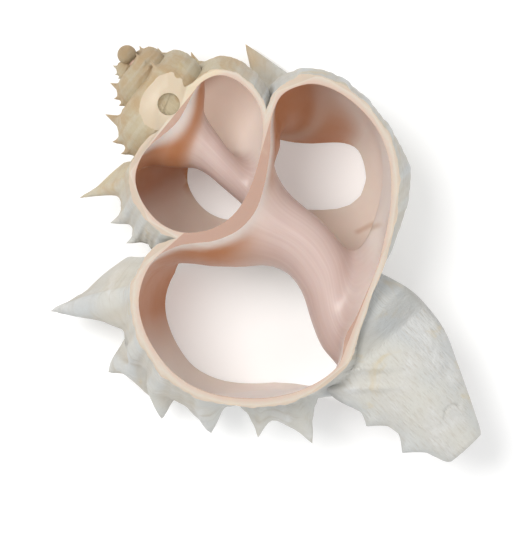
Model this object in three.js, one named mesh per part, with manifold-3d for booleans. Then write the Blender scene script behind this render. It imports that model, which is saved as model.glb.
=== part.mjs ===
import * as THREE from 'three';
import { mergeVertices } from 'three/addons/utils/BufferGeometryUtils.js';
import Module from 'manifold-3d';

// A murex shell sawn lengthwise into a slice about 20 mm thick.
// The slice lies on its rear saw cut. +X is right, +Y runs along the shell's axis to the apex, and
// +Z is up, out of the front saw cut.
// The shell is one growing spiral. Each cross-section is the same outline, larger by growthPerTurn
// for every turn about the axis. A turn of 0 is at the left, below zero is older shell that comes
// round over the front, and above zero is the newest shell, round to the rear.

// Driving dimensions in millimetres, and turns
const growthPerTurn = 1.81;
const frontCut = 6.4;        // saw cut in front of the shell's axis
const rearCut = 13.9;        // saw cut behind it
const axisX = 5.997;         // the shell's axis in the part frame
const apexY = 36.3;          // the point that the spiral shrinks to
const wallThickness = 1.15;  // at turn 0
const cordHeight = 0.5;      // raised spiral cords
const varixTurn = 0.033;     // the thick ridge behind the lip
const varixSpacing = 1 / 3;  // three ridges to a turn
const varixHeight = 2.3;
const varixHalfWidth = 0.05;
const knobHeight = 0.5;      // shoulder knobs between the ridges
const rearSwelling = 0.15;   // the whorl is wider at the rear ridge
const rearRib = 4.6;         // and its wall is thicker there, inside the shoulder
const flareTurn = -0.53;     // the right side flares out where it runs into the canal
const flareHeight = 3.6;
const lipTurn = 0.11;        // the shell's growing edge
const lipTuck = 4.6;         // the lip draws in behind the front cut, on its canal side
const pillarLean = 3.4;      // the pillar's lower end leans to the left
const apexTurn = -4;
const deepestHollowTurn = -2;  // older whorls are filled with shell
const openTurn = 0.25;       // the hollow runs out past the lip's edge to here
const heartRadius = 0.9;     // whorls reach in to here, and the pillar's heart fills the rest
const canalSlotWidth = 1.8;
const canalSlotDepth = 1.6;  // the slot stops this far behind the axis
const shoulder = 0.22;       // the shoulder's place along the outer wall, from 0 to 1

// How finely the curves are cut into flat faces
const stepsPerTurn = 24;
const wallSteps = 22;
const hollowSteps = 26;

// The hollow's outline at turn 0, as distance from the axis and distance from the apex.
// It runs from the suture over the shoulder and the outer wall to the canal, and back up the pillar.
const hollowOutline = [
  [12.4, 28.4], [14.6, 26.5], [18, 25.7], [22.2, 28], [24.6, 32.4], [25.4, 38], [24.8, 43],
  [22.6, 47.6], [18.6, 52], [14, 55.2], [9.4, 57.2],
  [6, 57.2], [4.2, 54.5], [3.8, 49], [4.6, 42], [5.2, 37.5], [6.6, 34], [9, 31.8], [11.2, 29.8],
];
const outerPoints = 11;      // how many of them lie on the outer wall
const tuckCentre = [9, 43];

// The canal's stations: distance from the apex, centre across, half width, half depth
const canalStations = [
  [42, 0, 3.6, 3.6],
  [47, -0.4, 6, 5.2],
  [51, -1.25, 8.15, 5.6],
  [54.5, -1.75, 8.85, 5.2],
  [58.5, -1.35, 7.95, 4.7],
  [62.9, -1.4, 6.3, 4.1],
  [67, -1.85, 5.05, 3.3],
  [71, -2, 3.4, 2.5],
  [72, -1.95, 2.75, 1.9],
];
const canalCentreFront = -0.6;

// The small round pit by the spire: its middle across and from the apex, radius and depth
const pit = { across: -0.1, fromApex: 10.7, radius: 1.5, depth: 1.2 };

// Spines on the ridges: place along the outer wall from 0 at the suture to 1 at the canal, tip
// across and from the apex, tip depth, width at the root
const lipSpines = [
  [0.2, -32, 20.5, -8, 12],
  [0.34, -31.6, 32.2, -7.5, 9],
  [0.44, -30.4, 41.8, -7, 8],
  [0.56, -26.6, 47.8, -6, 7],
  [0.71, -22.2, 52.5, -5, 7],
  [0.82, -17.2, 58, -4, 6.5],
];
const rearSpines = [
  [0.2, 12.6, 11.4, -12.2, 12],
];
const spireSpines = [
  [0.2, -18.1, 11.8, -4.6, 6],
];
const canalSpines = [
  { root: [-7.4, 59.2, -0.6], tip: [-10, 61, -0.6], width: 4 },
  { root: [-6, 65, -0.6], tip: [-8.8, 67, -0.6], width: 4 },
];

const wasm = await Module();
wasm.setup();

// Solids
function solidFrom(geometry) {
  const plain = geometry.clone();
  plain.deleteAttribute('normal');
  plain.deleteAttribute('uv');
  const merged = mergeVertices(plain, 1e-5);
  const mesh = new wasm.Mesh({
    numProp: 3,
    vertProperties: new Float32Array(merged.attributes.position.array),
    triVerts: new Uint32Array(merged.index.array),
  });
  return new wasm.Manifold(mesh);
}

function geometryFrom(solid) {
  const mesh = solid.getMesh();
  const geometry = new THREE.BufferGeometry();
  geometry.setAttribute('position', new THREE.BufferAttribute(new Float32Array(mesh.vertProperties), 3));
  geometry.setIndex(Array.from(mesh.triVerts));
  return geometry;
}

function signedVolume(points, faces) {
  let volume = 0;
  const cross = new THREE.Vector3();
  for (const [a, b, c] of faces) {
    cross.crossVectors(points[b], points[c]);
    volume += points[a].dot(cross) / 6;
  }
  return volume;
}

// A closed skin over rings of points, all with the same count. Each end is closed by flatCap,
// two numbers for each ring point.
function skin(rings, flatCap) {
  const count = rings[0].length;
  const points = rings.flat();
  const faces = [];
  for (let ring = 0; ring < rings.length - 1; ring++) {
    for (let i = 0; i < count; i++) {
      const a = ring * count + i;
      const b = ring * count + (i + 1) % count;
      faces.push([a, b, b + count], [a, b + count, a + count]);
    }
  }
  const capTriangles = THREE.ShapeUtils.triangulateShape(flatCap, []);
  const forward = THREE.ShapeUtils.area(flatCap) > 0;
  const last = (rings.length - 1) * count;
  for (const [a, b, c] of capTriangles) {
    const start = forward ? [a, c, b] : [a, b, c];
    faces.push(start, [start[0] + last, start[2] + last, start[1] + last]);
  }
  if (signedVolume(points, faces) < 0) faces.forEach((face) => face.reverse());
  const positions = points.flatMap((point) => point.toArray());
  const geometry = new THREE.BufferGeometry();
  geometry.setAttribute('position', new THREE.Float32BufferAttribute(positions, 3));
  geometry.setIndex(faces.flat());
  return solidFrom(geometry);
}

function joined(solids) {
  return solids.reduce((whole, solid) => whole.add(solid));
}

// Places in the part frame, from distance across, from the apex, and in front of the axis
function place(across, fromApex, front) {
  return new THREE.Vector3(axisX + across, apexY - fromApex, rearCut + front);
}

// The pillar isn't quite straight: it sways right halfway down, and its end leans left
function sway(radius, fromApex) {
  const right = 0.45 * bump(fromApex - 37.5, 8);
  const left = THREE.MathUtils.smoothstep(fromApex, 41, 50);
  return pillarLean * (right - left) * (1 - THREE.MathUtils.smoothstep(radius, 4, 10));
}

function placeOnSpiral(turn, radius, fromApex) {
  const angle = turn * 2 * Math.PI;
  const across = sway(radius, fromApex) - radius * Math.cos(angle);
  return place(across, fromApex, -radius * Math.sin(angle));
}

function bump(distance, halfWidth) {
  const near = Math.abs(distance) / halfWidth;
  return near < 1 ? 0.5 + 0.5 * Math.cos(Math.PI * near) : 0;
}

// How far a turn is from the nearest thick ridge, less than zero on its older side
function fromVarix(turn) {
  const spaced = (turn - varixTurn) / varixSpacing;
  return (spaced - Math.round(spaced)) * varixSpacing;
}

// The whorl's size at a turn
function sizeAt(turn) {
  return growthPerTurn ** turn * (1 + rearSwelling * bump(turn - varixTurn + 2 * varixSpacing, 0.12));
}

// How much a point lies on the canal side of the outline
function canalSide(point) {
  return THREE.MathUtils.smoothstep(point.y, 36, 50) * THREE.MathUtils.smoothstep(point.x, 4, 8);
}

function drawnIn(point, distance) {
  const inward = new THREE.Vector2(tuckCentre[0] - point.x, tuckCentre[1] - point.y).normalize();
  return point.addScaledVector(inward, distance);
}

// Draws the canal side of the lip in towards the middle of the whorl, the more so towards the rear
function tuckIn(point, turn) {
  const front = -point.x * sizeAt(turn) * Math.sin(2 * Math.PI * turn);
  const started = THREE.MathUtils.smoothstep(turn, -0.3, -0.2);
  const distance = lipTuck * started * THREE.MathUtils.smoothstep(-front, -frontCut - 5, 2);
  return drawnIn(point, distance * canalSide(point));
}

// The rib inside the shoulder at the rear ridge
function fillShoulder(point, turn) {
  const atRidge = bump(turn - varixTurn + 2 * varixSpacing, 0.13);
  const high = 1 - THREE.MathUtils.smoothstep(point.y, 30, 42);
  return drawnIn(point, rearRib * atRidge * high * THREE.MathUtils.smoothstep(point.x, 10, 14));
}

// The outer wall's curve at turn 0, by place from 0 at the suture to 1 at the canal
const wallCurve = new THREE.SplineCurve(
  hollowOutline.slice(0, outerPoints).map(([radius, fromApex]) => new THREE.Vector2(radius, fromApex)),
);

// What stands proud of the plain wall at turn 0: ridge, knobs and flare
function relief(turn, along) {
  const atSuture = 1 - THREE.MathUtils.smoothstep(along, 0, 0.2);
  const atCanal = THREE.MathUtils.smoothstep(along, 0.45, 0.75);
  const full = 0.25 + 0.75 * (1 - atSuture) * (1 - atCanal);
  const ridge = varixHeight * bump(fromVarix(turn), varixHalfWidth) * full;
  const betweenRidges = Math.abs(fromVarix(turn)) - varixSpacing / 2;
  const knob = knobHeight * bump(betweenRidges, varixHalfWidth) * bump(along - shoulder, 0.16);
  const flare = flareHeight * bump(turn - flareTurn, 0.1) * THREE.MathUtils.smoothstep(along, 0.5, 0.75);
  return ridge + knob + flare;
}

// A point of the shell's outside, as distance from the axis and from the apex
function outerPoint(turn, along, proud) {
  const scale = sizeAt(turn);
  const tangent = wallCurve.getTangentAt(along);
  const height = wallThickness * scale ** -0.5 + relief(turn, along) + proud;
  const point = tuckIn(wallCurve.getPointAt(along), turn);
  point.x += tangent.y * height;
  point.y -= tangent.x * height;
  return point.multiplyScalar(scale);
}

function outerRing(turn) {
  const scale = sizeAt(turn);
  const ring = [];
  for (let i = 0; i <= wallSteps; i++) {
    const along = i / wallSteps;
    const onCord = i % 2 === 1 && along > 0.1 && along < 0.85;
    const point = outerPoint(turn, along, onCord ? cordHeight : 0);
    ring.push([point.x, point.y]);
  }
  const belowHollow = tuckIn(new THREE.Vector2(8, 58.8), turn);
  const underSuture = 27.5;
  ring.push([heartRadius * scale, belowHollow.y * scale], [heartRadius * scale, underSuture * scale]);
  return ring;
}

const hollowCurve = new THREE.CatmullRomCurve3(
  hollowOutline.map(([radius, fromApex]) => new THREE.Vector3(radius, fromApex, 0)),
  true,
);

function hollowRing(turn) {
  const scale = sizeAt(turn);
  const ring = [];
  for (let i = 0; i < hollowSteps; i++) {
    const onCurve = hollowCurve.getPointAt(i / hollowSteps);
    const point = fillShoulder(tuckIn(new THREE.Vector2(onCurve.x, onCurve.y), turn), turn);
    ring.push([point.x * scale, point.y * scale]);
  }
  return ring;
}

// A stretch of the spiral as one solid, under a turn long so that it doesn't meet itself
function stretch(fromTurn, toTurn, ringAt) {
  const steps = Math.ceil((toTurn - fromTurn) * stepsPerTurn);
  const rings = [];
  for (let i = 0; i <= steps; i++) {
    const turn = fromTurn + (toTurn - fromTurn) * i / steps;
    rings.push(ringAt(turn).map(([radius, fromApex]) => placeOnSpiral(turn, radius, fromApex)));
  }
  return skin(rings, ringAt(fromTurn).map(([x, y]) => new THREE.Vector2(x, y)));
}

function spiral(fromTurn, toTurn, ringAt) {
  const stretches = [];
  for (let turn = fromTurn; turn < toTurn; turn += 0.5) {
    stretches.push(stretch(turn, Math.min(turn + 0.5, toTurn), ringAt));
  }
  return joined(stretches);
}

// A closed cone through oval stations: distance from the apex, centre across, half width, half depth
function ovalCone(stations, centreFront, sides) {
  const rings = stations.map(([fromApex, across, halfWidth, halfDepth]) => {
    const ring = [];
    for (let i = 0; i < sides; i++) {
      const angle = i / sides * 2 * Math.PI;
      const x = across + halfWidth * Math.cos(angle);
      ring.push(place(x, fromApex, centreFront + halfDepth * Math.sin(angle)));
    }
    return ring;
  });
  return skin(rings, rings[0].map((point) => new THREE.Vector2(point.x, point.z)));
}

// The heart of the pillar, which sways as the hollows do
function pillar() {
  const stations = [];
  for (let fromApex = 0.6; fromApex < 57; fromApex += 4) {
    const radius = 0.5 + 0.05 * fromApex;
    stations.push([fromApex, sway(0, fromApex), radius, radius]);
  }
  return ovalCone(stations, 0, 12);
}

// The first round whorl at the apex
function firstWhorl() {
  const geometry = new THREE.SphereGeometry(1.5, 10, 8);
  geometry.translate(axisX, apexY - 2.6, rearCut);
  return solidFrom(geometry);
}

function pitBowl() {
  const geometry = new THREE.SphereGeometry(pit.radius, 16, 12);
  geometry.rotateX(Math.PI / 2);
  geometry.scale(1, 1, pit.depth / pit.radius);
  const middle = place(pit.across, pit.fromApex, frontCut);
  geometry.translate(middle.x, middle.y, middle.z);
  return solidFrom(geometry);
}

// The narrow slot along the canal's rear, from the hollow to the tip
function canalSlot() {
  const route = new THREE.SplineCurve([[-6, 51], [-3.6, 57], [-2.3, 64], [-2.2, 74]].map(
    ([x, y]) => new THREE.Vector2(x, y),
  ));
  const left = [];
  const right = [];
  for (const point of route.getPoints(8)) {
    left.push(new THREE.Vector2(axisX + point.x - canalSlotWidth / 2, apexY - point.y));
    right.push(new THREE.Vector2(axisX + point.x + canalSlotWidth / 2, apexY - point.y));
  }
  const outline = new THREE.Shape([...left, ...right.reverse()]);
  const depth = rearCut - canalSlotDepth;
  return solidFrom(new THREE.ExtrudeGeometry(outline, { depth, bevelEnabled: false }));
}

// A flat, pointed spine, broad at its root and bent a little on the way to its tip
const spineTaper = [[-0.25, 0.75], [0.08, 0.85], [0.4, 0.5], [0.75, 0.24], [1, 0.06]];
const spineThickness = 0.52;  // of its width

function spine(root, tip, width, broadside) {
  const rings = [];
  const sides = 6;
  const along = tip.clone().sub(root);
  const across = broadside.clone().projectOnPlane(along.clone().normalize()).normalize();
  const flat = new THREE.Vector3().crossVectors(along, across).normalize();
  for (const [part, size] of spineTaper) {
    const bend = 0.12 * along.length() * part * (1 - part);
    const centre = root.clone().addScaledVector(along, part).addScaledVector(across, bend);
    const ring = [];
    for (let i = 0; i < sides; i++) {
      const angle = i / sides * 2 * Math.PI;
      const halfWidth = 0.5 * width * size;
      const point = centre.clone().addScaledVector(across, halfWidth * Math.cos(angle));
      ring.push(point.addScaledVector(flat, spineThickness * halfWidth * Math.sin(angle)));
    }
    rings.push(ring);
  }
  const cap = [];
  for (let i = 0; i < sides; i++) {
    const angle = i / sides * 2 * Math.PI;
    cap.push(new THREE.Vector2(Math.cos(angle), Math.sin(angle)));
  }
  return skin(rings, cap);
}

function spinesOnVarix(turn, rows) {
  return rows.map(([along, tipAcross, tipFromApex, tipFront, width]) => {
    const root = outerPoint(turn, along, -1);
    const beside = outerPoint(turn, along - 0.01, -1);
    const rootPlace = placeOnSpiral(turn, root.x, root.y);
    const broadside = placeOnSpiral(turn, beside.x, beside.y).sub(rootPlace);
    return spine(rootPlace, place(tipAcross, tipFromApex, tipFront), width, broadside);
  });
}

function spinesOnCanal() {
  return canalSpines.map(({ root, tip, width }) => (
    spine(place(...root), place(...tip), width, new THREE.Vector3(0, 1, 0))
  ));
}

// The slab that the two parallel saw cuts leave
function slab() {
  const geometry = new THREE.BoxGeometry(120, 160, frontCut + rearCut);
  geometry.translate(0, 0, (frontCut + rearCut) / 2);
  return solidFrom(geometry);
}

function murexSlice() {
  const outside = joined([
    spiral(apexTurn, lipTurn, outerRing),
    pillar(),
    firstWhorl(),
    ovalCone(canalStations, canalCentreFront, 18),
    ...spinesOnVarix(varixTurn, lipSpines),
    ...spinesOnVarix(varixTurn - 2 * varixSpacing, rearSpines),
    ...spinesOnVarix(varixTurn - 3 * varixSpacing, spireSpines),
    ...spinesOnCanal(),
  ]);
  const hollow = spiral(deepestHollowTurn, openTurn, hollowRing);
  return outside.subtract(hollow).subtract(canalSlot()).subtract(pitBowl()).intersect(slab());
}

const shellMaterial = new THREE.MeshStandardMaterial({ color: 0xe6ddd0, roughness: 0.6, metalness: 0 });

const slice = new THREE.Mesh(geometryFrom(murexSlice()), shellMaterial);
slice.name = 'murex_slice';

const part = new THREE.Group();
part.add(slice);

export default part;
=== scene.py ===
import math

import bmesh
import bpy
import numpy as np
from mathutils import Matrix, Vector
from mathutils.geometry import tessellate_polygon
from mathutils.kdtree import KDTree


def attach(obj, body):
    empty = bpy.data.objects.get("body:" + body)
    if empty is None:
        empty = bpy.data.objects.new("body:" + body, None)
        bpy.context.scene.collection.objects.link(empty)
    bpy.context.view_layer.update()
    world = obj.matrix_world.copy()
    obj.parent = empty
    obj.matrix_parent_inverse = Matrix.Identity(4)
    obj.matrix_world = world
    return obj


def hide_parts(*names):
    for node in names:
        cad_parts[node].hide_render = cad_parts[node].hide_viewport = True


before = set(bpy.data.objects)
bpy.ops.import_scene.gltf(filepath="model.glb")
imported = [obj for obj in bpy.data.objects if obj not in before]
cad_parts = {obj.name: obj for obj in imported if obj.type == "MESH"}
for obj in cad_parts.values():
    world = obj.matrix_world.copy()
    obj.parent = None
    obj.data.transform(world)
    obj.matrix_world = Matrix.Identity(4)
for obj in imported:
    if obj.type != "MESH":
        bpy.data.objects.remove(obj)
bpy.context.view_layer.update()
scene = bpy.context.scene

# The shell is modelled in millimetres, as its CAD solid is, and brought to metres at the end.
# A turn of 0 is at the left, below zero is older shell that comes round over the front, and
# above zero is the newest shell.
millimetre = 0.001

spiral = {
    "growthPerTurn": 1.81,    # size factor of one turn
    "frontCut": 6.4,          # saw cut in front of the axis
    "rearCut": 13.9,          # saw cut behind it
    "axisX": 5.997,
    "apexY": 36.3,            # the point that the spiral shrinks to
    "ridgeTurn": 0.033,       # the thick ridge behind the lip
    "ridgeSpacing": 1 / 3,    # three ridges to a turn
    "rearSwelling": 0.15,
    "swellingReach": 0.12,    # a reach along the spiral is in turns
}

# What the saw leaves
slab = {"halfWidth": 60, "halfLength": 80, "thickness": spiral["frontCut"] + spiral["rearCut"]}

# The pillar leans a little to the right and then to the left, into the canal. The lean fades
# out away from the axis, so that the outer wall stays where it is.
pillarShape = {
    "lean": 3.4, "rightShare": 0.45, "rightAt": 37.5, "rightReach": 8, "leftFrom": 41, "leftTo": 50,
    "fadeFrom": 4, "fadeTo": 10,
    "tip": 2.2, "foot": 57, "ringStep": 0.8, "sides": 24, "tipRadius": 0.5, "widening": 0.05,
}

# The lip's canal side draws in behind the front cut. Ranges run from nothing to the whole.
lipTuck = {
    "depth": 4.6, "centre": (9, 43), "turns": (-0.3, -0.2), "fromApex": (36, 50), "fromAxis": (4, 8),
    "startsBehindCut": -5, "wholeAt": 2,
}

# The hollow leaves a rib inside the shoulder at the rear ridge
rearRib = {"height": 4.6, "fromApex": (30, 42), "fromAxis": (6, 17), "reach": 0.13}

# Relief of the outer wall. Places along the wall run from 0 at the suture to 1 at the canal.
wallRelief = {
    "ridgeRises": (0, 0.2), "ridgeFades": (0.45, 0.75), "leastRidge": 0.25, "leastFrill": 0.4,
    "shoulder": 0.22, "knobWidth": 0.16,
    "leastCord": 0.6, "cordOnRidge": 0.7, "cordReach": 0.09,
    "flareTurn": -0.53, "flareReach": 0.1, "flareAlong": (0.5, 0.75),    # on the right, above the canal
    "lineScale": (55, 5), "waveScale": (14, 7),                          # along the spiral, across it
}

# The photograph's right and up, in the part's frame
roll = math.radians(42.3)
imageRight = Vector((math.cos(roll), -math.sin(roll), 0))
imageUp = Vector((math.sin(roll), math.cos(roll), 0))

# How finely each stretch is cut: rings between two ridges, first and last ring, packing
# towards the ridges, points across the wall
outsideStretches = {
    "young": {"ringsPerRidge": 44, "ends": (-242, -154, -66, 15), "packing": 0.72, "wallPoints": 132},
    "old": {"ringsPerRidge": 22, "ends": (-268, -231, -187, -143, -120), "packing": 0.5, "wallPoints": 72},
}
hollowStretches = {"ringsPerRidge": 22, "ends": (-140, -96, -52, -8, 14), "points": 90}


# Numbers and shapes

def ease(value, low, high):
    part = np.clip((value - low) / (high - low), 0, 1)
    return part * part * (3 - 2 * part)


def bump(distance, halfWidth):
    return 0.5 + 0.5 * np.cos(np.pi * np.minimum(np.abs(distance) / halfWidth, 1))


def place(across, fromApex, front):
    return Vector((spiral["axisX"] + across, spiral["apexY"] - fromApex, spiral["rearCut"] + front))


def pillarSway(fromApex):
    right = pillarShape["rightShare"] * bump(fromApex - pillarShape["rightAt"], pillarShape["rightReach"])
    return pillarShape["lean"] * (right - ease(fromApex, pillarShape["leftFrom"], pillarShape["leftTo"]))


def smoothCurve(corners, count, closed=False, steps=40):
    # Evenly spaced points on a smooth curve through the corners
    corners = np.array(corners, float)
    total = len(corners)
    dense = []
    for index in range(total if closed else total - 1):
        if closed:
            p0, p1, p2, p3 = (corners[(index + step) % total] for step in (-1, 0, 1, 2))
        else:
            p1, p2 = corners[index], corners[index + 1]
            p0 = corners[index - 1] if index else 2 * p1 - p2
            p3 = corners[index + 2] if index + 2 < total else 2 * p2 - p1
        for part in np.arange(0, 1, 1 / steps):
            dense.append(0.5 * (2 * p1 + (p2 - p0) * part + (2 * p0 - 5 * p1 + 4 * p2 - p3) * part ** 2
                                + (3 * p1 - p0 - 3 * p2 + p3) * part ** 3))
    dense.append(corners[0] if closed else corners[-1])
    dense = np.array(dense)
    length = np.concatenate(([0], np.cumsum(np.linalg.norm(np.diff(dense, axis=0), axis=1))))
    wanted = np.linspace(0, length[-1], count + 1 if closed else count)
    points = np.stack([np.interp(wanted, length, dense[:, axis]) for axis in range(dense.shape[1])], 1)
    return points[:-1] if closed else points


# Node trees are written as sums, through one small class for a value in a tree

class Field:
    def __init__(self, tree, socket):
        self.tree = tree
        self.socket = socket

    def math(self, operation, *others):
        node = self.tree.nodes.new("ShaderNodeMath")
        node.operation = operation
        for socket, value in zip(node.inputs, (self, *others)):
            plug(self.tree, value, socket)
        return Field(self.tree, node.outputs[0])

    def __add__(self, other):
        return self.math("ADD", other)

    def __sub__(self, other):
        return self.math("SUBTRACT", other)

    def __mul__(self, other):
        return self.math("MULTIPLY", other)

    def __truediv__(self, other):
        return self.math("DIVIDE", other)

    def __neg__(self):
        return self.math("MULTIPLY", -1)

    def ease(self, low, high):
        node = self.tree.nodes.new("ShaderNodeMapRange")
        node.interpolation_type = "SMOOTHSTEP"
        for name, value in (("Value", self), ("From Min", low), ("From Max", high)):
            plug(self.tree, value, node.inputs[name])
        return Field(self.tree, node.outputs["Result"])

    def bump(self, halfWidth):
        near = (self.math("ABSOLUTE") / halfWidth).math("MINIMUM", 1)
        return (near * math.pi).math("COSINE") * 0.5 + 0.5


def plug(tree, value, socket):
    if isinstance(value, Field):
        tree.links.new(value.socket, socket)
    else:
        socket.default_value = value


def newNode(tree, kind, values=(), **settings):
    node = tree.nodes.new(kind)
    for name, value in settings.items():
        setattr(node, name, value)
    for name, value in dict(values).items():
        plug(tree, value, node.inputs[name])
    return node


# Growing the whorls

def whorlTree():
    # The input is one outline as a row of points: x from the axis, y from the apex
    tree = bpy.data.node_groups.new("whorl", "GeometryNodeTree")
    interface = tree.interface
    interface.new_socket("Outline", in_out="INPUT", socket_type="NodeSocketGeometry")
    numbers = [
        ("First ring", "Int", 0), ("Rings", "Int", 2), ("Rings per ridge", "Int", 24),
        ("Packing", "Float", 0), ("Growth per turn", "Float", spiral["growthPerTurn"]),
        ("Wall thickness", "Float", 1.05),
        ("Ridge height", "Float", 2.3), ("Ridge half width", "Float", 0.05), ("Knob height", "Float", 0.4),
        ("Growth line height", "Float", 0.16), ("Waviness", "Float", 0.3), ("Flare height", "Float", 3.6),
        ("Rib", "Float", 0), ("Seed", "Float", 3),
    ]
    for name, kind, value in numbers:
        interface.new_socket(name, in_out="INPUT", socket_type="NodeSocket" + kind).default_value = value
    interface.new_socket("Whorl", in_out="OUTPUT", socket_type="NodeSocketGeometry")
    given = tree.nodes.new("NodeGroupInput").outputs
    value = {name: Field(tree, given[name]) for name, kind, start in numbers}

    count = newNode(tree, "GeometryNodeAttributeDomainSize")
    tree.links.new(given["Outline"], count.inputs["Geometry"])
    points = Field(tree, count.outputs["Point Count"])
    rings = value["Rings"]
    grid = newNode(tree, "GeometryNodeMeshGrid", {
        "Size X": rings - 1, "Size Y": points, "Vertices X": rings, "Vertices Y": points + 1})
    flat = newNode(tree, "ShaderNodeSeparateXYZ")
    tree.links.new(newNode(tree, "GeometryNodeInputPosition").outputs[0], flat.inputs[0])
    ring = (Field(tree, flat.outputs["X"]) + (rings - 1) / 2 + value["First ring"]).math("ROUND")
    column = (Field(tree, flat.outputs["Y"]) + points / 2).math("ROUND").math("FLOORED_MODULO", points)

    def fromOutline(name, kind):
        if name == "position":
            source = newNode(tree, "GeometryNodeInputPosition").outputs[0]
        else:
            named = newNode(tree, "GeometryNodeInputNamedAttribute", {"Name": name}, data_type=kind)
            source = named.outputs[0]
        sample = newNode(tree, "GeometryNodeSampleIndex", {"Index": column}, data_type=kind)
        tree.links.new(given["Outline"], sample.inputs["Geometry"])
        tree.links.new(source, sample.inputs["Value"])
        if kind == "FLOAT":
            return Field(tree, sample.outputs[0])
        parts = newNode(tree, "ShaderNodeSeparateXYZ")
        tree.links.new(sample.outputs[0], parts.inputs[0])
        return [Field(tree, parts.outputs[axis]) for axis in range(2)]

    radius, fromApex = fromOutline("position", "FLOAT_VECTOR")
    outwardX, outwardY = fromOutline("outward", "FLOAT_VECTOR")
    along = fromOutline("along", "FLOAT")
    cord = fromOutline("cord", "FLOAT")
    frill = fromOutline("frill", "FLOAT")

    # Rings crowd together near the ridges, where the spines stand
    fullTurn = 2 * math.pi
    spacing = spiral["ridgeSpacing"]
    spaced = ring / value["Rings per ridge"]
    crowded = spaced - value["Packing"] * (spaced * fullTurn).math("SINE") / fullTurn
    turn = crowded * spacing + spiral["ridgeTurn"]
    fromRidge = (crowded - crowded.math("ROUND")) * spacing
    fromRear = turn - spiral["ridgeTurn"] + 2 * spacing
    swelling = fromRear.bump(spiral["swellingReach"]) * spiral["rearSwelling"] + 1
    size = value["Growth per turn"].math("POWER", turn) * swelling
    sine = (turn * fullTurn).math("SINE")
    cosine = (turn * fullTurn).math("COSINE")

    # The lip's canal side and the rear rib draw in towards the middle of the outline
    inX = -radius + lipTuck["centre"][0]
    inY = -fromApex + lipTuck["centre"][1]
    inLength = (inX * inX + inY * inY).math("SQRT")
    canalSide = fromApex.ease(*lipTuck["fromApex"]) * radius.ease(*lipTuck["fromAxis"])
    behind = (radius * size * sine).ease(lipTuck["startsBehindCut"] - spiral["frontCut"], lipTuck["wholeAt"])
    tuck = turn.ease(*lipTuck["turns"]) * behind * canalSide * lipTuck["depth"]
    high = (-fromApex.ease(*rearRib["fromApex"]) + 1) * radius.ease(*rearRib["fromAxis"])
    rib = fromRear.bump(rearRib["reach"]) * high * value["Rib"]
    drawn = (tuck + rib) / inLength
    radius = radius + inX * drawn
    fromApex = fromApex + inY * drawn

    # Relief: ridges, shoulder knobs, cords, growth lines
    def unevenness(scale, detail):
        alongSpiral, acrossSpiral = scale
        at = newNode(tree, "ShaderNodeCombineXYZ", {
            "X": turn * alongSpiral, "Y": along * acrossSpiral, "Z": value["Seed"]})
        noise = newNode(tree, "ShaderNodeTexNoise", {"Scale": 1, "Detail": detail})
        tree.links.new(at.outputs[0], noise.inputs["Vector"])
        return Field(tree, noise.outputs[0]) - 0.5

    shape = wallRelief
    rises = along.ease(*shape["ridgeRises"]) * (-along.ease(*shape["ridgeFades"]) + 1)
    full = rises * (1 - shape["leastRidge"]) + shape["leastRidge"]
    notched = frill * (1 - shape["leastFrill"]) + shape["leastFrill"]
    ridge = fromRidge.bump(value["Ridge half width"]) * value["Ridge height"] * full * notched
    knobAt = fromRidge.math("ABSOLUTE") - spacing / 2
    onShoulder = (along - shape["shoulder"]).bump(shape["knobWidth"])
    knob = knobAt.bump(value["Ridge half width"]) * onShoulder * value["Knob height"]
    cordNow = cord * (fromRidge.bump(shape["cordReach"]) * shape["cordOnRidge"] + shape["leastCord"])
    aboveCanal = (turn - shape["flareTurn"]).bump(shape["flareReach"]) * along.ease(*shape["flareAlong"])
    relief = ridge + knob + cordNow + aboveCanal * value["Flare height"]
    relief = relief + unevenness(shape["lineScale"], 3) * value["Growth line height"] * 2
    relief = relief + unevenness(shape["waveScale"], 2) * value["Waviness"] * 2
    height = value["Wall thickness"] / size.math("SQRT") + relief
    radius = (radius + outwardX * height) * size
    fromApex = (fromApex + outwardY * height) * size

    pillar = pillarShape
    swayRight = (fromApex - pillar["rightAt"]).bump(pillar["rightReach"]) * pillar["rightShare"]
    swayLeft = fromApex.ease(pillar["leftFrom"], pillar["leftTo"])
    nearAxis = -radius.ease(pillar["fadeFrom"], pillar["fadeTo"]) + 1
    sway = (swayRight - swayLeft) * pillar["lean"] * nearAxis
    newPlace = newNode(tree, "ShaderNodeCombineXYZ", {
        "X": sway - radius * cosine + spiral["axisX"],
        "Y": -fromApex + spiral["apexY"],
        "Z": -(radius * sine) + spiral["rearCut"]})

    mesh = grid.outputs["Mesh"]
    for name, stored in (("turn", turn), ("along", along), ("ring", ring), ("column", column)):
        keep = newNode(tree, "GeometryNodeStoreNamedAttribute", {"Name": name, "Value": stored},
                       data_type="FLOAT", domain="POINT")
        tree.links.new(mesh, keep.inputs["Geometry"])
        mesh = keep.outputs["Geometry"]
    chain = [
        newNode(tree, "GeometryNodeSetPosition"),
        newNode(tree, "GeometryNodeMergeByDistance", {"Distance": 0.00002}),    # closes each ring
    ]
    tree.links.new(newPlace.outputs[0], chain[0].inputs["Position"])
    for node in chain:
        tree.links.new(mesh, node.inputs["Geometry"])
        mesh = node.outputs["Geometry"]
    tree.links.new(mesh, tree.nodes.new("NodeGroupOutput").inputs[0])
    return tree


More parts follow.
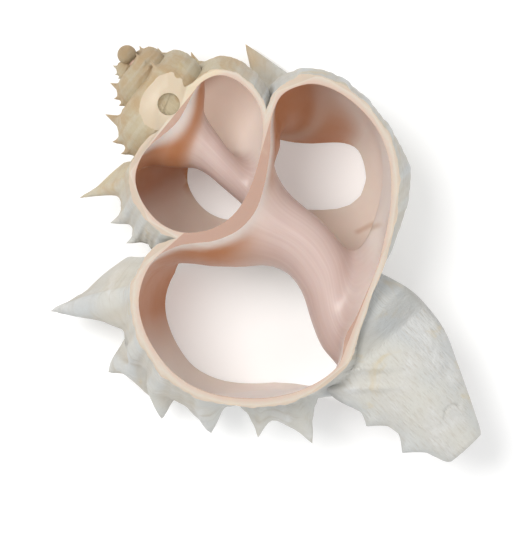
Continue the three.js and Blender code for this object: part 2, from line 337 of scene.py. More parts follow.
def outlineMesh(points, wallPoints, cordAt):
    # wallPoints of the points lie on the outer wall and carry relief; the rest close the ring.
    # A hollow has none, and there "along" is the place round its outline.
    mesh = bpy.data.meshes.new("outline")
    mesh.from_pydata([(x, y, 0) for x, y in points], [], [])
    along = np.zeros(len(points))
    outward = np.zeros((len(points), 3))
    cord = np.zeros(len(points))
    frill = np.zeros(len(points))
    if wallPoints:
        wall = np.array(points[:wallPoints])
        along[:wallPoints] = np.linspace(0, 1, wallPoints)
        along[wallPoints:] = 0.5
        tangent = np.gradient(wall, axis=0)
        tangent /= np.linalg.norm(tangent, axis=1)[:, None]
        outward[:wallPoints, 0] = tangent[:, 1]
        outward[:wallPoints, 1] = -tangent[:, 0]
        cord[:wallPoints] = cordAt(along[:wallPoints])
        onWall = along[:wallPoints]
        frills = [bump(onWall - middle, cords["frillHalfWidth"]) for middle in cords["places"]]
        frill[:wallPoints] = np.max(frills, axis=0)
    else:
        along = np.arange(len(points)) / len(points)
    for name, kind, data in (("along", "FLOAT", along), ("cord", "FLOAT", cord), ("frill", "FLOAT", frill),
                             ("outward", "FLOAT_VECTOR", outward)):
        attribute = mesh.attributes.new(name, kind, "POINT")
        attribute.data.foreach_set("vector" if kind == "FLOAT_VECTOR" else "value", data.ravel())
    return mesh


def growStretch(tree, outline, name, firstRing, lastRing, settings):
    thing = bpy.data.objects.new(name, outline)
    scene.collection.objects.link(thing)
    modifier = thing.modifiers.new("whorl", "NODES")
    modifier.node_group = tree
    identifiers = {item.name: item.identifier for item in tree.interface.items_tree if item.in_out == "INPUT"}
    values = {"First ring": firstRing, "Rings": lastRing - firstRing + 1, **settings}
    for key, value in values.items():
        modifier[identifiers[key]] = value
    grown = bpy.data.meshes.new_from_object(thing.evaluated_get(bpy.context.evaluated_depsgraph_get()))
    bpy.data.objects.remove(thing)
    return grown


def readArray(mesh, name):
    data = mesh.attributes[name].data
    values = np.empty(len(data))
    data.foreach_get("value", values)
    return values


def readPoints(mesh):
    points = np.empty(len(mesh.vertices) * 3)
    mesh.vertices.foreach_get("co", points)
    return points.reshape(-1, 3)


def tuckEnd(mesh, amount=0.05):
    # The oldest ring draws in a little, to end inside the stretch before it
    points = readPoints(mesh)
    ring = readArray(mesh, "ring")
    oldest = ring == ring.min()
    inward = points[oldest].mean(axis=0) - points[oldest]
    points[oldest] += inward / np.linalg.norm(inward, axis=1)[:, None] * amount
    mesh.vertices.foreach_set("co", points.ravel())
    mesh.update()


def closeEnds(mesh, outline):
    ring = readArray(mesh, "ring")
    column = readArray(mesh, "column")
    flat = [vertex.co for vertex in outline.vertices]
    triangles = tessellate_polygon([flat])
    work = bmesh.new()
    work.from_mesh(mesh)
    work.verts.ensure_lookup_table()
    for end in (ring.min(), ring.max()):
        onEnd = np.flatnonzero(ring == end)
        order = onEnd[np.argsort(column[onEnd])]
        for triangle in triangles:
            work.faces.new([work.verts[order[corner]] for corner in triangle])
    bmesh.ops.recalc_face_normals(work, faces=work.faces)
    work.to_mesh(mesh)
    work.free()


def skinOver(name, rings):
    # A closed skin over rings of points, all with the same count
    count = len(rings[0])
    points = [point for ring in rings for point in ring]
    faces = []
    for ring in range(len(rings) - 1):
        for index in range(count):
            start = ring * count + index
            after = ring * count + (index + 1) % count
            faces.append((start, after, after + count, start + count))
    faces.append(tuple(reversed(range(count))))
    faces.append(tuple(range(len(points) - count, len(points))))
    mesh = bpy.data.meshes.new(name)
    mesh.from_pydata(points, [], faces)
    work = bmesh.new()
    work.from_mesh(mesh)
    bmesh.ops.recalc_face_normals(work, faces=work.faces)
    work.to_mesh(mesh)
    work.free()
    return mesh


def pullSpine(points, root, tip, broadside, halfWidth, halfThickness, sharpness):
    # Draws the skin near a root out to a tip, as a broad-based flat spine
    root = np.array(root)
    pull = np.array(tip) - root
    pointing = pull / np.linalg.norm(pull)
    broad = np.array(broadside) - pointing * np.dot(broadside, pointing)
    broad /= np.linalg.norm(broad)
    thin = np.cross(pointing, broad)
    rel = points - root
    distance = np.sqrt((rel @ broad / halfWidth) ** 2 + (rel @ thin / halfThickness) ** 2)
    near = np.abs(rel @ pointing) < spineShape["reach"] * halfWidth
    weight = np.where(near, np.clip(1 - distance, 0, 1) ** sharpness, 0)
    points += weight[:, None] * pull


# Finishes

def newMaterial(name, roughness, **settings):
    material = bpy.data.materials.new(name)
    material.use_nodes = True
    tree = material.node_tree
    shader = tree.nodes["Principled BSDF"]
    shader.inputs["Roughness"].default_value = roughness
    for key, value in settings.items():
        shader.inputs[key].default_value = value
    return material, tree, shader


def noiseField(tree, here, scale, detail=4, roughness=0.55, distortion=0):
    node = newNode(tree, "ShaderNodeTexNoise", {
        "Scale": scale, "Detail": detail, "Roughness": roughness, "Distortion": distortion})
    tree.links.new(here, node.inputs["Vector"])
    return Field(tree, node.outputs["Fac"])


def linearColours(screen):
    # Colours as seen on a screen, 0 to 255, as the linear ones that a shader takes
    return {name: (*[((part / 255 + 0.055) / 1.055) ** 2.4 for part in parts], 1)
            for name, parts in screen.items()}


def mixColour(tree, factor, below, above):
    node = newNode(tree, "ShaderNodeMix", data_type="RGBA")
    plug(tree, factor, node.inputs[0])
    for socket, value in ((node.inputs[6], below), (node.inputs[7], above)):
        if isinstance(value, tuple):
            socket.default_value = value
        else:
            tree.links.new(value, socket)
    return node.outputs[2]


def attributeField(tree, name):
    return Field(tree, newNode(tree, "ShaderNodeAttribute", attribute_name=name).outputs["Fac"])


def addBump(tree, shader, height, strength, distance, normal=None):
    node = newNode(tree, "ShaderNodeBump", {"Height": height, "Strength": strength, "Distance": distance})
    if normal:
        tree.links.new(normal, node.inputs["Normal"])
    tree.links.new(node.outputs[0], shader.inputs["Normal"])
    return node.outputs[0]


outsideColours = linearColours({
    "cool": (191, 195, 197), "pale": (201, 201, 196), "patch": (213, 216, 217),
    # The second on the next line is painted shade for the grooves between the cords
    "growthLine": (168, 160, 146), "paintedGrooveShade": (176, 160, 134), "yellow": (200, 178, 126),
    "spire": (186, 166, 120), "amber": (172, 130, 76),
})


def outsideFinish():
    # Chalky weathered outside: cream and grey white, amber stains, fine growth lines, and painted shade in
    # the grooves between the cords
    material, tree, shader = newMaterial("weatheredOutside", 0.62)
    shades = outsideColours
    here = newNode(tree, "ShaderNodeTexCoord").outputs["Object"]
    broad = noiseField(tree, here, 90, 3)
    patches = noiseField(tree, here, 210, 5, 0.6, 0.4)
    grain = noiseField(tree, here, 1500, 3)
    stain = attributeField(tree, "stain")
    relief = attributeField(tree, "relief")
    turn = attributeField(tree, "turn")
    along = attributeField(tree, "along")
    growthAt = newNode(tree, "ShaderNodeCombineXYZ", {"X": turn * 260, "Y": along * 9, "Z": 0.0}).outputs[0]
    growth = noiseField(tree, growthAt, 1, 4, 0.6)
    base = mixColour(tree, broad.ease(0.35, 0.65), shades["cool"], shades["pale"])
    base = mixColour(tree, patches.ease(0.5, 0.75), base, shades["patch"])
    base = mixColour(tree, growth.ease(0.48, 0.75) * 0.45, base, shades["growthLine"])
    # Painted shade: darker and browner where the cords are low, in the grooves between them
    base = mixColour(tree, (relief * -1 + 1).ease(0.5, 1) * 0.3, base, shades["paintedGrooveShade"])
    yellow = noiseField(tree, here, 150, 4, 0.6, 0.6).ease(0.56, 0.72)
    base = mixColour(tree, yellow * 0.5, base, shades["yellow"])
    base = mixColour(tree, stain * 0.6, base, shades["spire"])
    amber = stain * patches.ease(0.4, 0.62)
    base = mixColour(tree, amber * 0.5, base, shades["amber"])
    tree.links.new(base, shader.inputs["Base Color"])
    plug(tree, grain * 0.25 + patches * 0.2 + 0.42, shader.inputs["Roughness"])
    pits = noiseField(tree, here, 520, 4, 0.6)
    first = addBump(tree, shader, growth + pits * 1.2, 0.7, 0.0003)
    addBump(tree, shader, grain, 0.3, 0.00006, first)
    return material


glazeColours = linearColours({
    "pale": (222, 210, 202), "palest": (228, 218, 210), "pink": (188, 160, 152), "palePink": (195, 170, 162),
    # The first two on the next line are painted shade: warmer with depth below the cut, and orange-brown on
    # walls that face away from the light
    "paintedDepthShade": (214, 182, 152), "paintedShadeWall": (180, 110, 56), "line": (180, 128, 82),
    # The next is the colour of the painted glow
    "paintedGlow": (226, 206, 190),
})


# An orange-brown line across the right chamber's outer wall, in millimetres
brownLine = {"up": -4.45, "across": 12.8, "fall": 0.3, "waver": 0.6, "halfWidth": 0.6,
             "starts": (12, 12.8), "ends": (15.3, 16.6), "strength": 0.4}
# Painted light: the glaze of the older whorls glows a little, low in the chambers, in place of daylight
# through their thin walls
paintedGlow = {"older": ((0.8, 1), 0.35), "oldest": ((1.25, 1.45), 0.65), "depth": (0.2, 0.8), "strength": 0.36}


def insideFinish():
    # Glossy glaze: pink on the pillar, pale on the lit walls, and painted shade: orange-brown on the walls
    # that face away from the light, warmer with depth below the cut, with a faint painted glow low in the
    # older chambers
    material, tree, shader = newMaterial("pinkGlaze", 0.22, **{
        "Coat Weight": 0.15, "Coat Roughness": 0.2, "Subsurface Weight": 0.2,
        "Subsurface Radius": (1, 0.5, 0.25), "Subsurface Scale": 0.0015,
        "Emission Color": glazeColours["paintedGlow"]})
    shades = glazeColours
    here = newNode(tree, "ShaderNodeTexCoord").outputs["Object"]
    parts = newNode(tree, "ShaderNodeSeparateXYZ")
    tree.links.new(here, parts.inputs[0])
    across, upward, height = [Field(tree, output) for output in parts.outputs]
    thickness = slab["thickness"] * millimetre
    depth = (-height + thickness) / thickness
    broad = noiseField(tree, here, 120, 3)
    turn = attributeField(tree, "turn")
    along = attributeField(tree, "along")
    pillar = attributeField(tree, "pillar")
    paintedShade = attributeField(tree, "paintedShade")
    growthAt = newNode(tree, "ShaderNodeCombineXYZ", {"X": turn * 70, "Y": along * 4, "Z": 0.0}).outputs[0]
    growth = noiseField(tree, growthAt, 1, 3, 0.5)
    pale = mixColour(tree, broad.ease(0.35, 0.65), shades["pale"], shades["palest"])
    pink = mixColour(tree, growth.ease(0.35, 0.7), shades["pink"], shades["palePink"])
    base = mixColour(tree, pillar * 0.85, pale, pink)
    # Painted shade: the glaze turns warmer and darker with depth below the cut, standing in for light bounced
    # in the hollows
    paintedDepthShade = (depth + (broad - 0.5) * 0.4).ease(0.2, 1)
    base = mixColour(tree, paintedDepthShade * 0.2, base, shades["paintedDepthShade"])
    # Painted shade: orange-brown on the walls that face away from the light
    base = mixColour(tree, (paintedShade + (broad - 0.5) * 0.4 * paintedShade) * 0.9, base, shades["paintedShadeWall"])
    right = across / millimetre
    fromLine = upward / millimetre - brownLine["up"] + (right - brownLine["across"]) * brownLine["fall"]
    line = (fromLine + (broad - 0.5) * brownLine["waver"]).bump(brownLine["halfWidth"])
    line = line * right.ease(*brownLine["starts"]) * (-right.ease(*brownLine["ends"]) + 1)
    base = mixColour(tree, line * brownLine["strength"], base, shades["line"])
    tree.links.new(base, shader.inputs["Base Color"])
    # Painted light: a faint glow low in the older chambers, away from the pillar and the painted shade
    (older, olderShare), (oldest, oldestShare) = paintedGlow["older"], paintedGlow["oldest"]
    thin = (-turn).ease(*older) * olderShare + (-turn).ease(*oldest) * oldestShare
    through = depth.ease(*paintedGlow["depth"]) * (-pillar + 1) * (-paintedShade + 1) * thin
    plug(tree, through * paintedGlow["strength"], shader.inputs["Emission Strength"])
    fine = noiseField(tree, here, 700, 3)
    plug(tree, fine * 0.12 + broad * 0.12 + 0.3, shader.inputs["Roughness"])
    addBump(tree, shader, growth + fine * 0.3 + broad * 2, 0.08, 0.0002)
    return material


sawnColours = linearColours({
    "chalk": (200, 192, 179), "innerLayers": (198, 177, 162), "band": (200, 172, 152),
    "spire": (214, 200, 168), "outerEdge": (178, 152, 126), "innerEdge": (170, 132, 114),
    "cloud": (212, 194, 168),
})


def sawnFinish():
    # Sawn and lightly polished wall: chalky layers outside, pink inside, faint saw marks
    material, tree, shader = newMaterial("sawnWall", 0.45, **{
        "Subsurface Weight": 0.25, "Subsurface Radius": (1, 0.5, 0.3), "Subsurface Scale": 0.0012})
    shades = sawnColours
    here = newNode(tree, "ShaderNodeTexCoord").outputs["Object"]
    layer = attributeField(tree, "layer")
    cloud = noiseField(tree, here, 260, 4)
    speck = noiseField(tree, here, 1400, 3)
    bands = (layer * 34 + cloud * 5).math("SINE") * 0.5 + 0.5
    base = mixColour(tree, layer.ease(0.15, 0.75), shades["chalk"], shades["innerLayers"])
    base = mixColour(tree, bands * 0.22, base, shades["band"])
    base = mixColour(tree, attributeField(tree, "stain").ease(0.8, 1) * 0.6, base, shades["spire"])
    # Browner towards the outer and the inner edge of the sawn face
    base = mixColour(tree, (-layer.ease(0.02, 0.2) + 1) * 0.4, base, shades["outerEdge"])
    base = mixColour(tree, layer.ease(0.86, 0.99) * 0.8, base, shades["innerEdge"])
    base = mixColour(tree, cloud.ease(0.55, 0.8) * 0.3, base, shades["cloud"])
    tree.links.new(base, shader.inputs["Base Color"])
    plug(tree, speck * 0.2 + 0.32, shader.inputs["Roughness"])
    mapping = newNode(tree, "ShaderNodeMapping", {"Rotation": (0, 0, 0.7), "Scale": (1, 14, 1)})
    tree.links.new(here, mapping.inputs["Vector"])
    marks = noiseField(tree, mapping.outputs[0], 260, 2)
    addBump(tree, shader, marks + speck * 0.4, 0.22, 0.00008)
    return material


materials = [outsideFinish(), insideFinish(), sawnFinish()]
outsideSlot, insideSlot, sawnSlot = range(3)

# The outline at turn 0: distance from the axis and from the apex, from the suture over the
# shoulder and the wall to the canal, and back up the pillar
outlineCorners = [
    (12.4, 28.4), (14.6, 26.5), (18, 25.7), (22.2, 28), (24.6, 32.4), (25.4, 38), (24.8, 43),
    (22.6, 47.6), (18.6, 52), (14, 55.2), (9.4, 57.2),
    (6, 57.2), (4.2, 54.5), (3.8, 49), (4.6, 42), (5.2, 37.5), (6.6, 34), (9, 31.8), (11.2, 29.8),
]
wallCorners = 11

cords = {
    "places": (0.1, 0.2, 0.34, 0.44, 0.56, 0.71, 0.82),   # along the wall, one under each row of spines
    "heights": (0.25, 0.55, 0.45, 0.42, 0.4, 0.35, 0.3),
    "halfWidth": 0.034,
    "frillHalfWidth": 0.062,    # the ridges are notched between their spines
    "riblets": 31,
    "ribletHeight": 0.16,
}


def cordAt(along):
    height = np.zeros(len(along))
    for middle, top in zip(cords["places"], cords["heights"]):
        height += top * bump(along - middle, cords["halfWidth"])
    riblets = 0.5 + 0.5 * np.cos(2 * np.pi * cords["riblets"] * along)
    ends = ease(along, 0.03, 0.1) * (1 - ease(along, 0.86, 0.95))
    return (height + cords["ribletHeight"] * riblets) * ends


def toPiece(name, mesh, slot):
    mesh.materials.clear()
    for material in materials:
        mesh.materials.append(material)
    mesh.polygons.foreach_set("material_index", [slot] * len(mesh.polygons))
    piece = bpy.data.objects.new(name, mesh)
    scene.collection.objects.link(piece)
    return piece


tree = whorlTree()
wallLine = outlineCorners[:wallCorners]
heart = [(0.9, 58.8), (0.9, 27.5)]    # each whorl reaches in to the pillar's heart

# Spines: place along the wall, tip across, tip from the apex, tip depth, width
spines = {
    0: [(0.2, -31.7, 20.5, -8, 11.5), (0.34, -31.4, 32, -7.5, 7.5), (0.44, -30.3, 41.6, -7, 7),
        (0.56, -26.5, 47.6, -6, 6.2), (0.71, -22.1, 52.3, -5, 6), (0.82, -17.1, 57.8, -4, 6.5)],
    2: [(0.2, 12.6, 11.4, -12.2, 13)],
    3: [(0.2, -18.1, 11.8, -4.6, 6)],
}
smallSpines = {"places": (0.2, 0.34, 0.44, 0.56, 0.71), "lengths": (4.4, 2.6, 2.2, 2, 1.8), "width": 1.1}
# Half width and half thickness are shares of a spine's width, and the reach is in half widths.
# A lower power gives a fuller spine. A stretch grows spines on the ridges that lie inside its ends.
spineShape = {
    "halfWidth": 0.6, "halfThickness": 0.34, "reach": 2.2, "power": 1.6, "lipPower": 1.3,
    "leanToApex": 0.35, "besideStep": 0.03, "ridges": 13,
    "fromOldEnd": 0.02, "fromNewEnd": 0.01, "turnWeight": 20, "sameRow": 0.05,
}


def growSpines(mesh):
    # Every ridge carries a row of spines
    points = readPoints(mesh)
    turn = readArray(mesh, "turn")
    along = readArray(mesh, "along")
    normals = np.array([normal.vector for normal in mesh.vertex_normals])
    shape = points.copy()
    for index in range(spineShape["ridges"]):
        ridgeTurn = spiral["ridgeTurn"] - index * spiral["ridgeSpacing"]
        oldest, newest = turn.min() + spineShape["fromOldEnd"], turn.max() - spineShape["fromNewEnd"]
        if not oldest < ridgeTurn < newest:
            continue
        size = spiral["growthPerTurn"] ** ridgeTurn

        def nearest(wanted):
            return np.argmin(np.abs(turn - ridgeTurn) * spineShape["turnWeight"] + np.abs(along - wanted))

        rows = list(spines.get(index, []))
        given = [row[0] for row in rows]
        for middle, length in zip(smallSpines["places"], smallSpines["lengths"]):
            if any(abs(middle - one) < spineShape["sameRow"] for one in given) or index == 0:
                continue
            root = nearest(middle)
            lean = Vector(normals[root]) + Vector((0, spineShape["leanToApex"], 0))
            tip = Vector(points[root]) + lean.normalized() * length * size
            rows.append((middle, tip, None, None, smallSpines["width"] * length * size))
        for middle, *tip, width in rows:
            root = nearest(middle)
            beside = nearest(middle - spineShape["besideStep"])
            tipPlace = tip[0] if tip[1] is None else place(*tip)
            power = spineShape["power"] if index else spineShape["lipPower"]
            pullSpine(shape, points[root], tipPlace, points[beside] - points[root],
                      width * spineShape["halfWidth"], width * spineShape["halfThickness"], power)
    mesh.vertices.foreach_set("co", shape.ravel())
    mesh.update()


outsides = []
for age, settings in outsideStretches.items():
    wall = smoothCurve(wallLine, settings["wallPoints"])
    outline = outlineMesh([*wall, *heart], settings["wallPoints"], cordAt)
    ends = settings["ends"]
    for first, last in zip(ends, ends[1:]):
        grown = growStretch(tree, outline, f"{age}Whorl", first - 1, last, {
            "Rings per ridge": settings["ringsPerRidge"], "Packing": settings["packing"]})
        closeEnds(grown, outline)
        growSpines(grown)
        tuckEnd(grown)
        outsides.append(toPiece(f"{age}Whorl", grown, outsideSlot))
print("whorls grown:", sum(len(piece.data.polygons) for piece in outsides), "faces")

hollows = []
outline = outlineMesh(smoothCurve(outlineCorners, hollowStretches["points"], True), 0, cordAt)
ends = hollowStretches["ends"]
for first, last in zip(ends, ends[1:]):
    grown = growStretch(tree, outline, "hollow", first - 1, last, {
        "Rings per ridge": hollowStretches["ringsPerRidge"], "Rib": rearRib["height"]})
    closeEnds(grown, outline)
    tuckEnd(grown)
    hollows.append(toPiece("hollow", grown, insideSlot))
print("hollows grown:", sum(len(piece.data.polygons) for piece in hollows), "faces")

canal = {
    # from the apex, left margin, right margin, half depth
    "stations": [(42, -3.6, 3.6, 3.6), (47, -6.4, 5.6, 5.2), (51, -9.4, 6.9, 5.6), (54.5, -10.6, 7.1, 5.2),
                 (58.5, -9.3, 6.6, 4.7), (62.9, -7.7, 4.9, 4.1), (67, -6.9, 3.2, 3.3),
                 (71.1, -5.4, 1.4, 2.5), (72, -4.7, 0.8, 1.9)],
    "centreFront": -0.6, "flatness": 0.25, "rings": 150, "sides": 120,
    "scallops": [(60.8, 1.5, 2), (66.7, 1.8, 2.3)],    # from the apex, length, half width
    "scallopPower": 1.3, "scallopFrom": 0.7,           # share of the half width where they begin
    "folds": [((-10.6, 50), (1.6, 59.4)), ((-11.6, 52.4), (-0.6, 61.4))],
    "foldHeight": 0.75, "foldHalfWidth": 0.8, "foldFadesFrom": 0.35,
    "mark": (0.1, 67.4), "markRadius": 1.3, "markDepth": 0.3, "markHalfWidth": 0.35, "markFade": 0.7,
    "slot": [(-6, 51), (-3.6, 57), (-2.3, 64), (-2.2, 74)], "slotWidth": 1.8, "slotDepth": 1.6,
    "slotPoints": 24, "slotBack": -30,
}


def canalRelief(across, fromApex):
    # Folds that run on from the whorl, and a small arched crease
    here = np.array((across, fromApex))
    height = 0
    for start, end in canal["folds"]:
        start, end = np.array(start), np.array(end)
        part = np.clip(np.dot(here - start, end - start) / np.dot(end - start, end - start), 0, 1)
        away = np.linalg.norm(here - start - part * (end - start))
        fade = 1 - ease(part, canal["foldFadesFrom"], 1)
        height += canal["foldHeight"] * bump(away, canal["foldHalfWidth"]) * fade
    fromMark = here - canal["mark"]
    crease = bump(np.linalg.norm(fromMark) - canal["markRadius"], canal["markHalfWidth"])
    return height - canal["markDepth"] * crease * ease(-fromMark[1], 0, canal["markFade"])


def canalMesh():
    rings = []
    for fromApex, left, right, halfDepth in smoothCurve(canal["stations"], canal["rings"]):
        tooth = sum(length * (1 - min(abs(fromApex - middle) / halfWidth, 1)) ** canal["scallopPower"]
                    for middle, length, halfWidth in canal["scallops"])
        ring = []
        for side in range(canal["sides"]):
            angle = side / canal["sides"] * 2 * math.pi
            sideways = math.cos(angle)
            atMargin = ease(-sideways, canal["scallopFrom"], 1)
            across = (left + right) / 2 + (right - left) / 2 * sideways - tooth * atMargin
            thinner = 1 - canal["flatness"] * sideways ** 2
            front = canal["centreFront"] + halfDepth * math.sin(angle) * thinner
            if angle < math.pi:
                front += canalRelief(across, fromApex)
            ring.append(place(across, fromApex, front))
        rings.append(ring)
    return skinOver("canal", rings)


def pillarMesh():
    rings = []
    angles = [side / pillarShape["sides"] * 2 * math.pi for side in range(pillarShape["sides"])]
    for fromApex in np.arange(pillarShape["tip"], pillarShape["foot"], pillarShape["ringStep"]):
        radius = pillarShape["tipRadius"] + pillarShape["widening"] * fromApex
        sway = pillarSway(fromApex)
        rings.append([place(sway + radius * math.cos(angle), fromApex, radius * math.sin(angle))
                      for angle in angles])
    return skinOver("pillar", rings)


def slotMesh():
    half = canal["slotWidth"] / 2
    back, depth = canal["slotBack"], -canal["slotDepth"]
    corners = ((-half, back), (half, back), (half, depth), (-half, depth))
    rings = [[place(across + sideways, fromApex, front) for sideways, front in corners]
             for across, fromApex in smoothCurve(canal["slot"], canal["slotPoints"])]
    return skinOver("slot", rings)


def boxMesh(name, low, high):
    work = bmesh.new()
    bmesh.ops.create_cube(work, size=1)
    size = Vector(high) - Vector(low)
    middle = (Vector(high) + Vector(low)) / 2
    shape = Matrix.Translation(middle) @ Matrix.Diagonal((*size, 1))
    bmesh.ops.transform(work, matrix=shape, verts=work.verts)
    mesh = bpy.data.meshes.new(name)
    work.to_mesh(mesh)
    work.free()
    return mesh


def ballMesh(name, ball):
    work = bmesh.new()
    bmesh.ops.create_uvsphere(work, u_segments=32, v_segments=20, radius=1)
    shape = Matrix.Translation(place(*ball["middle"])) @ Matrix.Diagonal((*ball["radii"], 1))
    bmesh.ops.transform(work, matrix=shape, verts=work.verts)
    mesh = bpy.data.meshes.new(name)
    work.to_mesh(mesh)
    work.free()
    return mesh


def combine(piece, others, operation):
    for other in others:
        modifier = piece.modifiers.new("combine", "BOOLEAN")
        modifier.solver = "MANIFOLD"
        modifier.operation = operation
        modifier.object = other
    mesh = bpy.data.meshes.new_from_object(piece.evaluated_get(bpy.context.evaluated_depsgraph_get()))
    piece.modifiers.clear()
    piece.data = mesh


def dropCrumbs(mesh):
    # Cutting leaves a few specks of wall in the hollow; only the shell itself stays
    work = bmesh.new()
    work.from_mesh(mesh)
    work.verts.ensure_lookup_table()
    island = [-1] * len(work.verts)
    sizes = []
    for first in range(len(work.verts)):
        if island[first] >= 0:
            continue
        island[first] = len(sizes)
        reached = [first]
        for index in reached:
            for edge in work.verts[index].link_edges:
                other = edge.other_vert(work.verts[index]).index
                if island[other] < 0:
                    island[other] = len(sizes)
                    reached.append(other)
        sizes.append(len(reached))
    largest = sizes.index(max(sizes))
    crumbs = [vertex for vertex, number in zip(work.verts, island) if number != largest]
    bmesh.ops.delete(work, geom=crumbs, context="VERTS")
    work.to_mesh(mesh)
    work.free()


firstWhorl = {"middle": (0, 1.9, 0), "radii": (1.3, 1.3, 1.3)}    # the smooth ball at the apex
# The small round pit by the spire, where the saw met a whorl that is filled
pit = {"middle": (-0.1, 10.7, spiral["frontCut"]), "radii": (1.5, 1.5, 1.2)}

extras = [
    toPiece("canal", canalMesh(), outsideSlot),
    toPiece("pillar", pillarMesh(), insideSlot),
    toPiece("firstWhorl", ballMesh("firstWhorl", firstWhorl), outsideSlot),
]
cutters = [toPiece("slot", slotMesh(), insideSlot), toPiece("pit", ballMesh("pit", pit), outsideSlot)]
sawn = toPiece("slab", boxMesh("slab", (-slab["halfWidth"], -slab["halfLength"], 0),
                               (slab["halfWidth"], slab["halfLength"], slab["thickness"])), sawnSlot)

shell = outsides[0]
sources = {outsideSlot: [piece.data.copy() for piece in outsides],
           insideSlot: [piece.data.copy() for piece in hollows]}
combine(shell, outsides[1:] + extras, "UNION")
combine(shell, hollows + cutters, "DIFFERENCE")
combine(shell, [sawn], "INTERSECT")
dropCrumbs(shell.data)
print("shell cut:", len(shell.data.polygons), "faces")


# What the finishes follow. The pillar's places run along the wall, from 0 to 1. Distances from
# the apex, the axis and the cut are in millimetres, and the sharp edge is an angle in degrees.
finishPlaces = {
    "pillarStarts": (0.55, 0.64), "pillarEnds": (0.86, 0.95), "neighbours": 4,
    "spireStain": (9, 20), "leastStain": 0.12,
    "canalFromApex": (50, 54), "canalMiddle": -1.5, "canalFromAxis": (8, 10),
    "canalAcrossScale": 0.014, "canalLengthScale": 0.06,
    "smoothFromApex": (41, 47), "smoothRelief": 0.5, "fullCord": 0.9,
    # Painted shade: which walls take it, how far below the cut it sets in, and the share left on the pillar
    "paintedShadeWall": (0.05, 0.7), "belowCut": (0.2, 2.2), "pillarPaintedShade": 0.15,
    "sharpEdge": 42,
}


def followed(meshes, points, names):
    # Each point takes the values of the nearest places on the grown meshes
    tree = KDTree(sum(len(mesh.vertices) for mesh in meshes))
    for index, source in enumerate(np.concatenate([readPoints(mesh) for mesh in meshes])):
        tree.insert(source, index)
    tree.balance()
    values = {name: np.concatenate([readArray(mesh, name) for mesh in meshes]) for name in names}
    found = [tree.find_n(point, finishPlaces["neighbours"]) for point in points]
    indices = np.array([[near[1] for near in row] for row in found])
    weights = 1 / (np.array([[near[2] for near in row] for row in found]) ** 2 + 1e-6)
    weights /= weights.sum(axis=1)[:, None]
    result = {name: (parts[indices] * weights).sum(axis=1) for name, parts in values.items()}
    result["turn"] = values["turn"][indices[:, 0]]
    return result


def exactTurn(points, rough):
    # The turn by angle about the axis, with the whole turns taken from a rough value
    fromApex = spiral["apexY"] - points[:, 1]
    across = points[:, 0] - spiral["axisX"]
    front = points[:, 2] - spiral["rearCut"]
    nearAxis = 1 - ease(np.hypot(across, front), pillarShape["fadeFrom"], pillarShape["fadeTo"])
    across = across - pillarSway(fromApex) * nearAxis
    part = np.arctan2(-front, -across) / (2 * np.pi)
    return part + np.round(rough - part)


def finishShell(piece):
    mesh = piece.data
    points = readPoints(mesh)
    for name in [item.name for item in mesh.attributes]:
        if name in ("turn", "along", "ring", "column"):
            mesh.attributes.remove(mesh.attributes[name])
    slots = np.empty(len(mesh.polygons), dtype=np.int32)
    mesh.polygons.foreach_get("material_index", slots)
    inside = np.zeros(len(points), bool)
    outside = np.zeros(len(points), bool)
    for polygon, slotIndex in zip(mesh.polygons, slots):
        for vertex in polygon.vertices:
            if slotIndex == insideSlot:
                inside[vertex] = True
            elif slotIndex == outsideSlot:
                outside[vertex] = True
    follow = {"turn": np.zeros(len(points)), "along": np.zeros(len(points))}
    for mask, key in ((outside, outsideSlot), (inside, insideSlot)):
        found = followed(sources[key], points[mask], ["turn", "along"])
        follow["along"][mask] = found["along"]
        follow["turn"][mask] = exactTurn(points[mask], found["turn"])
    layer = np.where(inside, 1.0, 0.0)
    fromApex = spiral["apexY"] - points[:, 1]
    across = points[:, 0] - spiral["axisX"]
    front = points[:, 2] - spiral["rearCut"]
    where = finishPlaces
    pillar = ease(follow["along"], *where["pillarStarts"]) * (1 - ease(follow["along"], *where["pillarEnds"]))
    pillar = np.where(inside, pillar, 0)
    stain = np.clip(1 - ease(fromApex, *where["spireStain"]) + where["leastStain"], 0, 1)
    # Cord height, which sets the painted shade in the grooves; from 41 to 47 mm from the apex on it stays at
    # least half, which leaves no painted shade there
    relief = np.maximum(cordAt(follow["along"]) / where["fullCord"],
                        ease(fromApex, *where["smoothFromApex"]) * where["smoothRelief"])
    # Growth lines run on over the canal
    fromCanal = np.hypot(across - where["canalMiddle"], front)
    onCanal = ease(fromApex, *where["canalFromApex"]) * (1 - ease(fromCanal, *where["canalFromAxis"]))
    for name, onward in (("turn", across * where["canalAcrossScale"]),
                         ("along", fromApex * where["canalLengthScale"])):
        whorl = follow[name]
        follow[name] = np.where(outside, whorl * (1 - onCanal) + onward * onCanal, whorl)
    # Painted shade: walls that face down and right in the camera's view, away from the light, are painted
    # warm and dark below the cut, and less so on the pillar
    normals = np.array([normal.vector for normal in mesh.vertex_normals])
    facing = normals @ (imageRight - imageUp) / math.sqrt(2)
    paintedShade = ease(facing, *where["paintedShadeWall"]) * ease(spiral["frontCut"] - front, *where["belowCut"])
    paintedShade *= 1 - (1 - where["pillarPaintedShade"]) * pillar
    for name, data in (("turn", follow["turn"]), ("along", follow["along"]), ("layer", layer),
                       ("pillar", pillar), ("stain", stain), ("relief", relief), ("paintedShade", paintedShade)):
        attribute = mesh.attributes.new(name, "FLOAT", "POINT")
        attribute.data.foreach_set("value", np.ascontiguousarray(data, dtype=np.float32))
    mesh.transform(Matrix.Scale(millimetre, 4))
    mesh.polygons.foreach_set("use_smooth", [True] * len(mesh.polygons))
    mesh.set_sharp_from_angle(angle=math.radians(where["sharpEdge"]))
    mesh.update()


finishShell(shell)
for thing in outsides[1:] + extras + hollows + cutters + [sawn]:
    bpy.data.objects.remove(thing)
shell.name = "murexShell"
shell.data.name = "murexShell"
print("shell finished:", len(shell.data.polygons), "faces")

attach(shell, "root")
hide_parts("murex_slice")

# The studio, turned as the photograph is

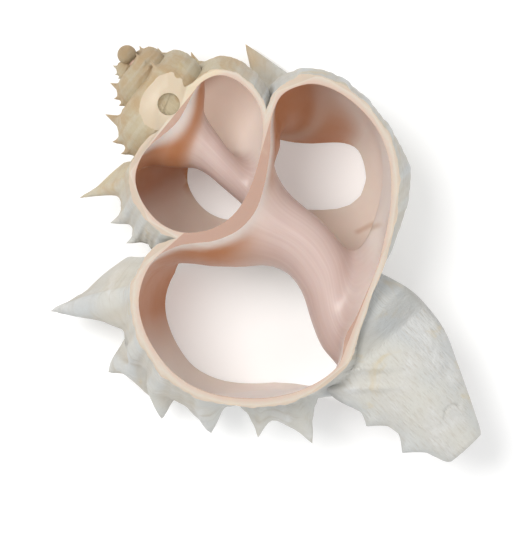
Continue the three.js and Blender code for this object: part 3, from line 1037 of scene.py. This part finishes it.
studio = {
    "distance": 0.6, "leanUp": 0.05, "leanRight": 0.015, "lens": 304,
    "target": (0.000147, 0, 0.0203), "lightTarget": (0, 0, 0.01),
    # place to the right, up the picture and above; size, power, colour
    "lights": {
        "keyLight": ((-0.24, 0.17, 0.6), 0.34, 2.8, (1, 0.99, 0.975)),
        "fillLight": ((0.4, -0.2, 0.5), 0.6, 1.2, (0.97, 0.99, 1)),
    },
    "skyStrength": 0.58,
    "floorSize": 3, "floorShade": 0.88, "floorGlow": 0.16, "floorBelow": 0.0002,
}
up = Vector((0, 0, 1))


def addLight(name, where, size, power, tint):
    data = bpy.data.lights.new(name, "AREA")
    data.shape = "DISK"
    data.size = size
    data.energy = power
    data.color = tint
    light = bpy.data.objects.new(name, data)
    scene.collection.objects.link(light)
    light.location = imageRight * where[0] + imageUp * where[1] + up * where[2]
    towards = Vector(studio["lightTarget"]) - light.location
    light.rotation_euler = towards.to_track_quat("-Z", "Y").to_euler()


def addFloor():
    material, tree, shader = newMaterial("paleFloor", 0.8, **{
        "Base Color": (*[studio["floorShade"]] * 3, 1), "Emission Color": (1, 1, 1, 1),
        "Emission Strength": studio["floorGlow"]})
    work = bmesh.new()
    bmesh.ops.create_grid(work, x_segments=1, y_segments=1, size=studio["floorSize"])
    mesh = bpy.data.meshes.new("floor")
    work.to_mesh(mesh)
    work.free()
    mesh.materials.append(material)
    floor = bpy.data.objects.new("floor", mesh)
    floor.location.z = -studio["floorBelow"]
    scene.collection.objects.link(floor)


def addSky():
    world = bpy.data.worlds.new("studio")
    scene.world = world
    world.use_nodes = True
    background = world.node_tree.nodes["Background"]
    background.inputs["Color"].default_value = (1, 1, 1, 1)
    background.inputs["Strength"].default_value = studio["skyStrength"]


addFloor()
for name, (where, size, power, tint) in studio["lights"].items():
    addLight(name, where, size, power, tint)
addSky()
scene.view_settings.view_transform = "Standard"

cameraData = bpy.data.cameras.new("camera")
cameraData.lens = studio["lens"]
cameraData.sensor_fit = "HORIZONTAL"
camera = bpy.data.objects.new("camera", cameraData)
scene.collection.objects.link(camera)
target = Vector(studio["target"])
backward = (up + imageUp * studio["leanUp"] + imageRight * studio["leanRight"]).normalized()
rightward = imageUp.cross(backward).normalized()
upward = backward.cross(rightward)
turned = Matrix((rightward, upward, backward)).transposed()
camera.matrix_world = Matrix.Translation(target + backward * studio["distance"]) @ turned.to_4x4()
scene.camera = camera
print("studio set")
